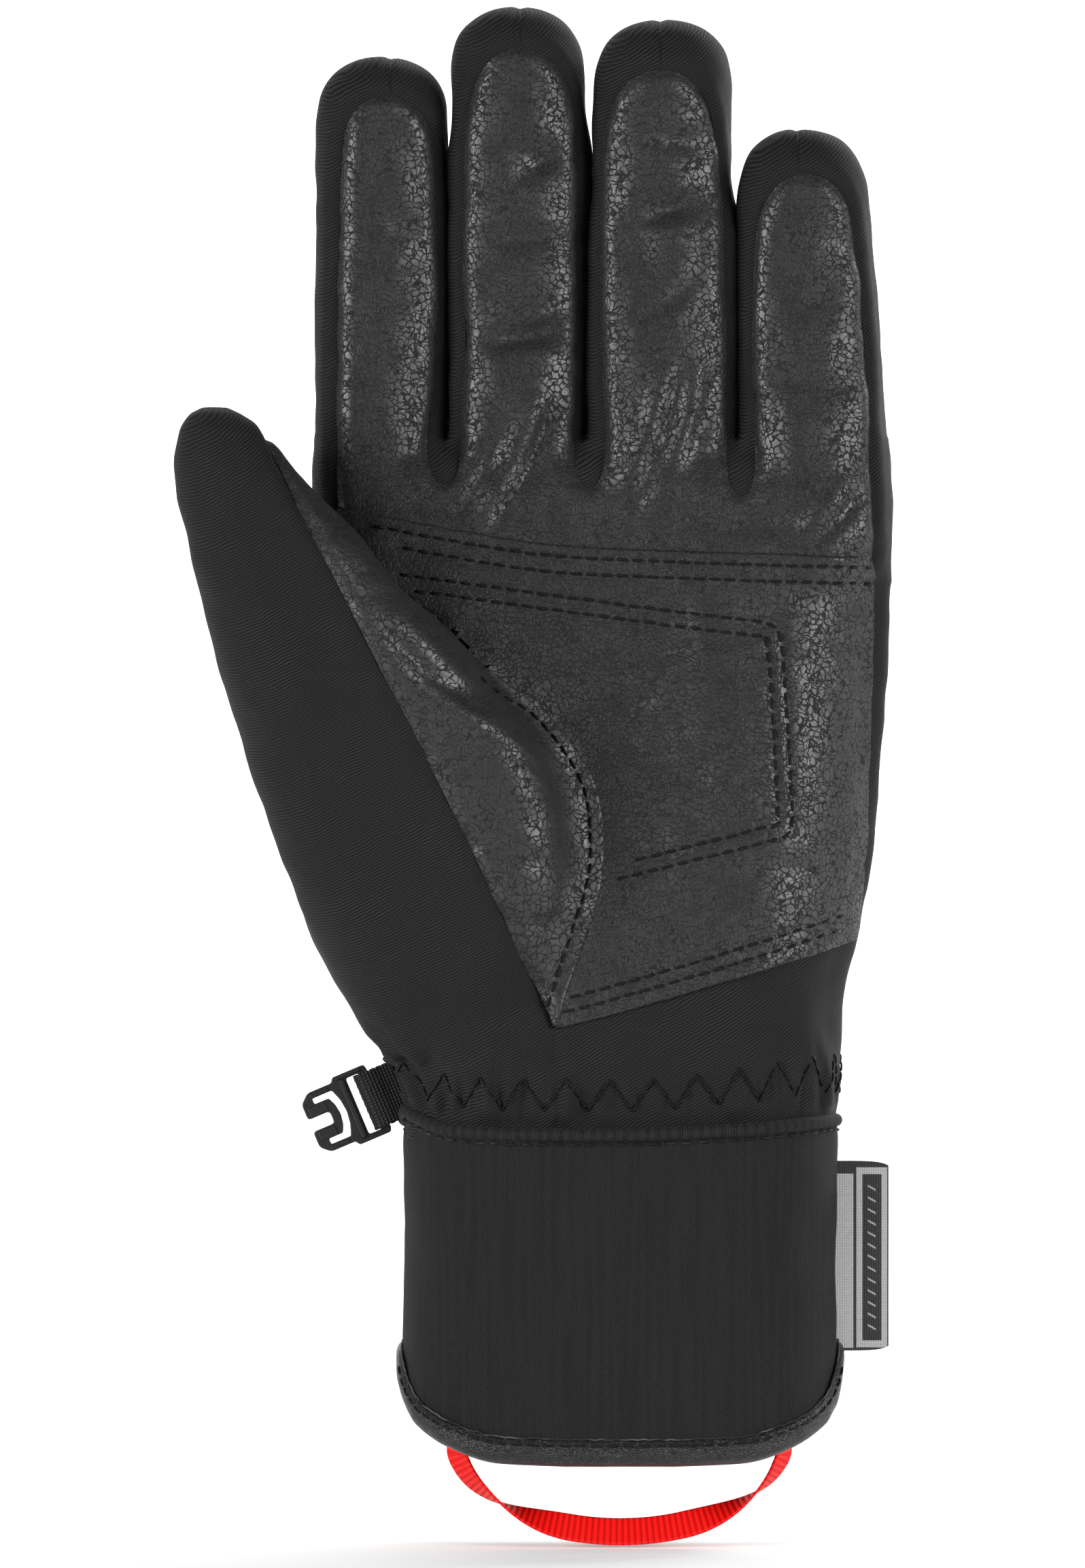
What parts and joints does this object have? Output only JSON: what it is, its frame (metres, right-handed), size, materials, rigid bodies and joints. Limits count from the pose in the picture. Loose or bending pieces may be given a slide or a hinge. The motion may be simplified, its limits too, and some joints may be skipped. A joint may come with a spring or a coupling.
{
  "type": "padded ski glove",
  "caption": "Padded five-finger ski glove for the left hand, with a leather palm, softshell back, knit neoprene cuff, clip and pull loop.",
  "frame": {"origin": "centre of the cuff mouth, at the lowest point of the hem", "axes": "+Z from the cuff mouth to the fingertips, -Y out of the palm, -X towards the thumb"},
  "size_m": [0.1345, 0.0658, 0.2907],
  "materials": {
    "pebbled_leather": "satin pebbled leather",
    "grip_leather": "satin pebbled leather",
    "smooth_leather": "smooth satin leather",
    "softshell": "matte twill softshell",
    "knit_neoprene": "matte fine knit over neoprene",
    "lining": "brushed fleece",
    "insulation": "matte wadding",
    "membrane": "thin satin film",
    "elastic": "matte woven elastic",
    "webbing": "coarse woven webbing",
    "red_ribbon": "ribbed grosgrain ribbon",
    "woven_label": "woven satin label",
    "moulded_plastic": "satin moulded plastic"
  },
  "bodies": {
    "hand": {"palm_leather_upper": "pebbled_leather", "palm_leather_lower": "pebbled_leather", "palm_grip_patch": "grip_leather", "thumb_leather_base": "pebbled_leather", "thumb_softshell_base": "softshell", "back_softshell": "softshell", "wrist_softshell": "softshell", "wrist_elastic": "elastic", "hand_membrane": "membrane", "hand_insulation": "insulation", "hand_lining": "lining", "cuff_neoprene_palm": "knit_neoprene", "cuff_neoprene_back": "knit_neoprene", "cuff_lining": "lining", "cuff_seam_welt": "knit_neoprene", "hem_binding": "smooth_leather", "clip_webbing": "webbing"},
    "index_base": {"index_base_leather": "pebbled_leather", "index_base_softshell": "softshell", "index_base_lining": "lining"},
    "index_tip": {"index_tip_leather": "pebbled_leather", "index_tip_softshell": "softshell", "index_tip_lining": "lining"},
    "middle_base": {"middle_base_leather": "pebbled_leather", "middle_base_softshell": "softshell", "middle_base_lining": "lining"},
    "middle_tip": {"middle_tip_leather": "pebbled_leather", "middle_tip_softshell": "softshell", "middle_tip_lining": "lining"},
    "ring_base": {"ring_base_leather": "pebbled_leather", "ring_base_softshell": "softshell", "ring_base_lining": "lining"},
    "ring_tip": {"ring_tip_leather": "pebbled_leather", "ring_tip_softshell": "softshell", "ring_tip_lining": "lining"},
    "little_base": {"little_base_leather": "pebbled_leather", "little_base_softshell": "softshell", "little_base_lining": "lining"},
    "little_tip": {"little_tip_leather": "pebbled_leather", "little_tip_softshell": "softshell", "little_tip_lining": "lining"},
    "thumb_tip": {"thumb_tip_leather": "pebbled_leather", "thumb_tip_softshell": "softshell", "thumb_tip_lining": "lining"},
    "clip_buckle": {"clip_buckle": "moulded_plastic"},
    "side_label": {"side_label": "woven_label"},
    "pull_loop": {"pull_loop": "red_ribbon"}
  },
  "joints": [
    {"name": "index_curl", "type": "hinge", "parent": "hand", "child": "index_base", "pos_m": [-0.045, -0.0065, 0.191], "axis": [1, 0, 0], "range_deg": [0, 60]},
    {"name": "index_bend", "type": "hinge", "parent": "index_base", "child": "index_tip", "pos_m": [-0.045, -0.0065, 0.222], "axis": [1, 0, 0], "range_deg": [0, 72]},
    {"name": "middle_curl", "type": "hinge", "parent": "hand", "child": "middle_base", "pos_m": [-0.0193, -0.0065, 0.191], "axis": [1, 0, 0], "range_deg": [0, 60]},
    {"name": "middle_bend", "type": "hinge", "parent": "middle_base", "child": "middle_tip", "pos_m": [-0.0193, -0.0065, 0.227], "axis": [1, 0, 0], "range_deg": [0, 72]},
    {"name": "ring_curl", "type": "hinge", "parent": "hand", "child": "ring_base", "pos_m": [0.0081, -0.0065, 0.191], "axis": [1, 0, 0], "range_deg": [0, 60]},
    {"name": "ring_bend", "type": "hinge", "parent": "ring_base", "child": "ring_tip", "pos_m": [0.0081, -0.0065, 0.226], "axis": [1, 0, 0], "range_deg": [0, 72]},
    {"name": "little_curl", "type": "hinge", "parent": "hand", "child": "little_base", "pos_m": [0.0369, -0.0065, 0.191], "axis": [0.9991, 0, 0.0419], "range_deg": [0, 60]},
    {"name": "little_bend", "type": "hinge", "parent": "little_base", "child": "little_tip", "pos_m": [0.03577, -0.0065, 0.21798], "axis": [0.9991, 0, 0.0419], "range_deg": [0, 72]},
    {"name": "thumb_curl", "type": "hinge", "parent": "hand", "child": "thumb_tip", "pos_m": [-0.062, -0.033, 0.165], "axis": [0.8746, 0, 0.4848], "range_deg": [0, 40]},
    {"name": "clip_swing", "type": "hinge", "parent": "hand", "child": "clip_buckle", "pos_m": [-0.0465, 0, 0.0684], "axis": [-0.3907, 0, 0.9205], "range_deg": [-60, 60]},
    {"name": "label_flap", "type": "hinge", "parent": "hand", "child": "side_label", "pos_m": [0.0419, 0, 0.0387], "axis": [0, 0, 1], "range_deg": [-75, 75]},
    {"name": "pull_loop_swing", "type": "hinge", "parent": "hand", "child": "pull_loop", "pos_m": [0, -0.009, 0.0035], "axis": [1, 0, 0], "range_deg": [-45, 45]}
  ],
  "couplings": [
    {"joint": "index_bend", "follows": "index_curl", "ratio": 1.2},
    {"joint": "middle_bend", "follows": "middle_curl", "ratio": 1.2},
    {"joint": "ring_bend", "follows": "ring_curl", "ratio": 1.2},
    {"joint": "little_bend", "follows": "little_curl", "ratio": 1.2}
  ]
}
